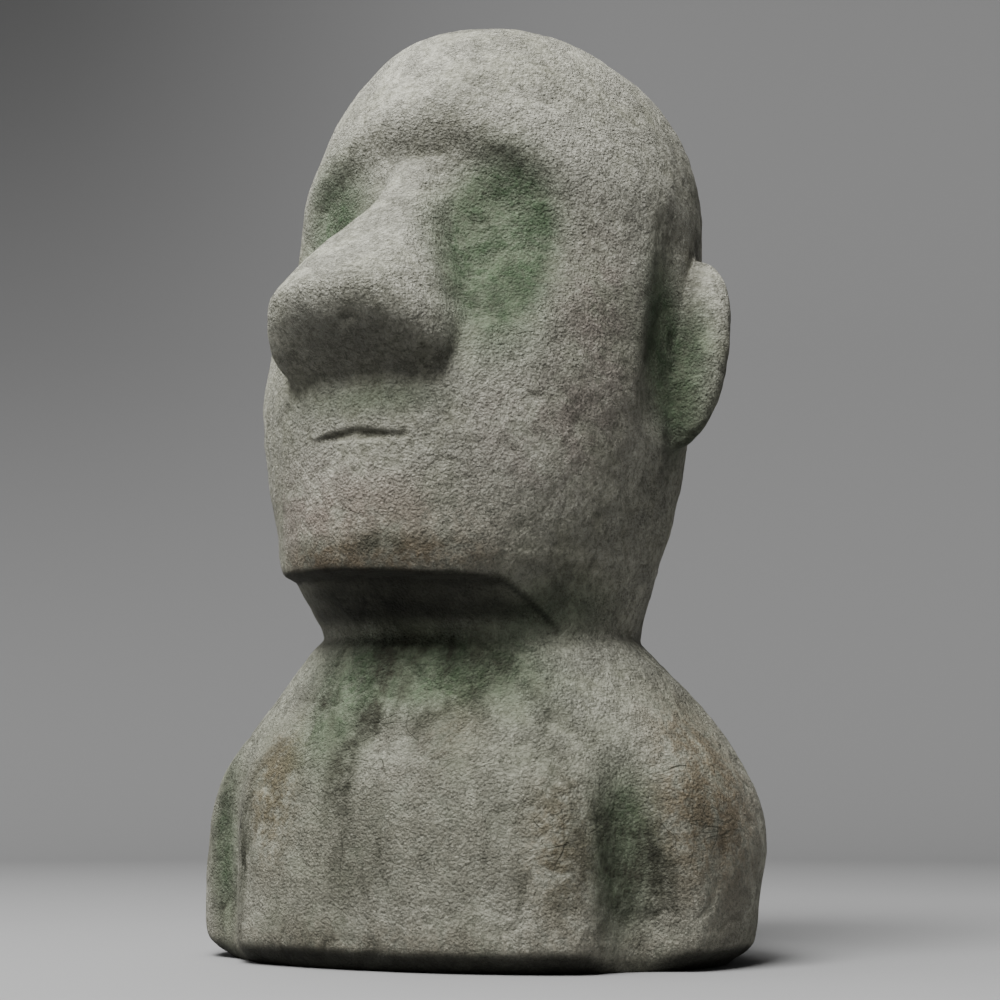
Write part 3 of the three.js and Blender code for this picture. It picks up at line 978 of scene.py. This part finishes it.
@dataclass
class StoneStatue:
    """The statue's one carved piece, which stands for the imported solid."""

    node: str = "statue"
    form: StatueForm = field(default_factory=StatueForm)
    grid: RayGrid = field(default_factory=RayGrid)
    relief: Relief = field(default_factory=Relief)
    weathering: Weathering = field(default_factory=Weathering)
    finish: WeatheredStone = field(default_factory=WeatheredStone)

    def build(self) -> bpy.types.Object:
        """Makes the statue's skin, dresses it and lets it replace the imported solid.

        Returns:
            The finished object, at the origin.
        """
        grid, ground, top = self.grid.solve(self.form)
        raised = self.relief.height(grid)
        normals = grid_normals(grid)
        skin = grid + normals * raised[..., None]
        skin[0, :, 2] = 0.0
        rows, columns = skin.shape[:2]
        points = np.concatenate([skin.reshape(-1, 3), ground[None], top[None]])
        piece = self._object(points * MM, self._faces(rows, columns))
        self._mark(piece, np.concatenate([grid.reshape(-1, 3), ground[None], top[None]]),
                   np.concatenate([raised.ravel(), [0.0, 0.0]]),
                   np.concatenate([normals[..., 2].ravel(), [-1.0, 1.0]]),
                   np.concatenate([crevices(self.form, grid, normals, 14.0).ravel(), [0.0, 0.0]]))
        piece.data.materials.append(self.finish.material())
        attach(piece, "root")
        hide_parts(self.node)
        return piece

    @staticmethod
    def _faces(rows: int, columns: int) -> Array:
        """Triangles of a closed grid: two for each cell, and a fan at each end.

        Args:
            rows: rows of the grid, from the ground up.
            columns: columns of the grid, going round anticlockwise from above.

        Returns:
            Three vertex numbers for each triangle.
        """
        row, column = np.meshgrid(np.arange(rows - 1), np.arange(columns), indexing="ij")
        a = (row * columns + column).ravel()
        b = (row * columns + (column + 1) % columns).ravel()
        walls = np.concatenate([np.stack([a, b, b + columns], 1), np.stack([a, b + columns, a + columns], 1)])
        first = np.arange(columns)
        after = (first + 1) % columns
        ground, top, last = rows * columns, rows * columns + 1, (rows - 1) * columns
        foot = np.stack([np.full(columns, ground), after, first], 1)
        crown = np.stack([np.full(columns, top), last + first, last + after], 1)
        return np.concatenate([walls, foot, crown])

    @staticmethod
    def _object(points: Array, faces: Array) -> bpy.types.Object:
        """A smooth-shaded mesh object from points in metres and triangles."""
        mesh = bpy.data.meshes.new("statue_stone")
        mesh.from_pydata(points, [], faces.tolist())
        mesh.polygons.foreach_set("use_smooth", np.ones(len(faces), bool))
        mesh.update()
        piece = bpy.data.objects.new("statue_stone", mesh)
        bpy.context.scene.collection.objects.link(piece)
        return piece

    def _mark(self, piece: bpy.types.Object, points: Array, raised: Array, downward: Array,
              closed_in: Array) -> None:
        """Stores the weathering and the painted shade on the skin's vertices.

        Args:
            piece: the skin.
            points: the plain form's points, in millimetres, in vertex order.
            raised: how far each vertex was moved by the relief.
            downward: the upward part of the plain form's normals.
            closed_in: how closed in each point is.
        """
        marks = {
            Mask.ALGAE: Weathering.total(self.weathering.algae, points),
            Mask.RUST: Weathering.total(self.weathering.rust, points),
            Mask.PINK: Weathering.total(self.weathering.pink, points),
            # Real stains and streaks, and painted shade under the jaw and in the neck crease.
            Mask.GRIME_AND_SHADE: Weathering.total(self.weathering.dark, points),
            Mask.COARSE: Weathering.total(self.weathering.coarse, points),
            Mask.SCRAPED: Weathering.total(self.weathering.scraped, points),
            # Painted shade: grows as the plain form's normal turns down, and is stronger below 240 mm.
            Mask.UNDERSIDE_SHADE: ease((-downward - 0.3) / 0.45) * (0.3 + 0.7 * ease((240.0 - points[:, 2]) / 30.0)),
            # Painted crease shade, also standing for soiling there: from how closed in the form is.
            Mask.CREVICE: ease(closed_in / 0.8),
            Mask.HOLLOW: ease(-raised / 1.2),
        # Darker where the relief pushed the skin in.
        }
        for mask, values in marks.items():
            stored = piece.data.attributes.new(mask.value, "FLOAT", "POINT")
            stored.data.foreach_set("value", values.astype(np.float32))


# ------------------------------------------------------------------ studio


@dataclass(frozen=True)
class Panel:
    """A soft light panel that faces a point."""

    name: str
    place: Point
    target: Point
    width: float
    height: float
    power: float
    warmth: tuple[float, float, float] = (1.0, 1.0, 1.0)

    def build(self) -> None:
        """Adds the panel to the scene."""
        light = bpy.data.lights.new(self.name, "AREA")
        light.shape = "RECTANGLE"
        light.size, light.size_y = self.width, self.height
        light.energy = self.power
        light.color = self.warmth
        lamp = bpy.data.objects.new(self.name, light)
        lamp.location = self.place
        lamp.rotation_euler = (Vector(self.target) - Vector(self.place)).to_track_quat("-Z", "Y").to_euler()
        bpy.context.scene.collection.objects.link(lamp)


@dataclass(frozen=True)
class Studio:
    """The camera, the soft lights and the pale floor that sweeps up into a backdrop."""

    azimuth: float = 30.0
    distance: float = 1.25
    eye_height: float = 0.087
    aim_height: float = 0.2416
    aim_aside: float = 0.01223
    lens: float = 84.6
    floor_grey: tuple[float, float, float, float] = (0.26, 0.26, 0.26, 1)
    wall_grey: tuple[float, float, float, float] = (0.255, 0.255, 0.255, 1)
    # painted shade for the backdrop
    dark_grey: tuple[float, float, float, float] = (0.05, 0.05, 0.05, 1)
    near_edge: float = 0.34
    far_edge: float = 0.50
    world: tuple[float, float, float, float] = (0.30, 0.30, 0.30, 1)
    world_strength: float = 0.12
    panels: tuple[Panel, ...] = (
        Panel("key_panel", (0.0, -1.35, 2.15), (0, 0, 0.25), 1.3, 1.1, 130.0),
        Panel("overhead_panel", (-0.4, -0.1, 2.4), (0, 0, 0.3), 1.6, 1.6, 45.0),
        Panel("left_panel", (-2.2, -0.9, 1.6), (0, 0, 0.25), 1.0, 1.0, 8.0),
    )

    def build(self) -> None:
        """Adds the camera, the lights, the floor and the surrounding light."""
        self._camera()
        for panel in self.panels:
            panel.build()
        self._sweep()
        world = bpy.data.worlds.new("studio_air")
        world.use_nodes = True
        air = world.node_tree.nodes["Background"]
        air.inputs["Color"].default_value = self.world
        air.inputs["Strength"].default_value = self.world_strength
        bpy.context.scene.world = world

    def _camera(self) -> None:
        """Places the camera low and level with the bust, looking a little upwards."""
        turn = radians(self.azimuth)
        eye = Vector((self.distance * sin(turn), -self.distance * cos(turn), self.eye_height))
        aim = Vector((self.aim_aside * cos(turn), self.aim_aside * sin(turn), self.aim_height))
        data = bpy.data.cameras.new("camera")
        data.lens = self.lens
        data.sensor_width = 36.0
        camera = bpy.data.objects.new("camera", data)
        camera.location = eye
        camera.rotation_euler = (aim - eye).to_track_quat("-Z", "Y").to_euler()
        bpy.context.scene.collection.objects.link(camera)
        bpy.context.scene.camera = camera

    def _sweep(self) -> None:
        """Makes the floor and backdrop as one surface.

        Its profile runs level, turns up through a quarter circle and climbs; it is
        carried round a full circle, so that the floor has a backdrop on every side.
        """
        radius, bend, wall = 1.8, 0.8, 3.0
        turn = np.linspace(0, pi / 2, 17)
        out = np.concatenate([[0.0, 0.9], radius + bend * np.sin(turn), [radius + bend]])
        up = np.concatenate([[0.0, 0.0], bend - bend * np.cos(turn), [wall]])
        angle = np.linspace(0, 2 * pi, 96, endpoint=False)
        grid = np.stack([out[1:, None] * np.cos(angle), out[1:, None] * np.sin(angle),
                         np.repeat(up[1:, None], 96, 1)], -1)
        rows, columns = grid.shape[:2]
        row, column = np.meshgrid(np.arange(rows - 1), np.arange(columns), indexing="ij")
        a = (row * columns + column).ravel()
        b = (row * columns + (column + 1) % columns).ravel()
        faces = np.stack([a, a + columns, b + columns, b], 1).tolist()
        middle = rows * columns
        faces += [[middle, i, (i + 1) % columns] for i in range(columns)]
        mesh = bpy.data.meshes.new("studio_sweep")
        mesh.from_pydata(np.concatenate([grid.reshape(-1, 3), [[0, 0, 0]]]), [], faces)
        mesh.polygons.foreach_set("use_smooth", np.ones(len(faces), bool))
        sweep = bpy.data.objects.new("studio_sweep", mesh)
        bpy.context.scene.collection.objects.link(sweep)
        sheet = Sheet("studio_grey")
        from_axis = sheet.add("ShaderNodeVectorMath", {"operation": "LENGTH"}, {
            0: sheet.place()}).out("Value")
        axes = sheet.add("ShaderNodeSeparateXYZ", {}, {0: sheet.place()})
        turn = radians(self.azimuth)
        rightward = axes.out("X") * cos(turn) + axes.out("Y") * sin(turn)
        backward = axes.out("Y") * cos(turn) - axes.out("X") * sin(turn)
        # Painted shade on the backdrop: darker up and to the camera's left, and dark all round on the camera's side,
        # where the studio is unlit.
        shade = rightward.between(0.3, -0.9) * axes.out("Z").between(0.0, 1.6)
        behind_camera = backward.between(0.2, -0.6)
        wall = sheet.blend(shade * 0.85 + behind_camera, self.wall_grey, self.dark_grey)
        grey = sheet.blend(from_axis.between(self.near_edge, self.far_edge), self.floor_grey, wall)
        shader = sheet.add("ShaderNodeBsdfPrincipled", {}, {
            "Base Color": grey, "Roughness": 0.9, "Specular IOR Level": 0.1})
        sheet.add("ShaderNodeOutputMaterial", {}, {"Surface": shader.raw("BSDF")})
        mesh.materials.append(sheet.material)


def main() -> None:
    """Builds the studio and the statue."""
    logging.basicConfig(level=logging.INFO, format="%(name)s: %(message)s")
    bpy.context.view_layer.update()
    Studio().build()
    piece = StoneStatue().build()
    log.info("%s: %d triangles", piece.name, len(piece.data.polygons))


if __name__ == "__main__":
    main()
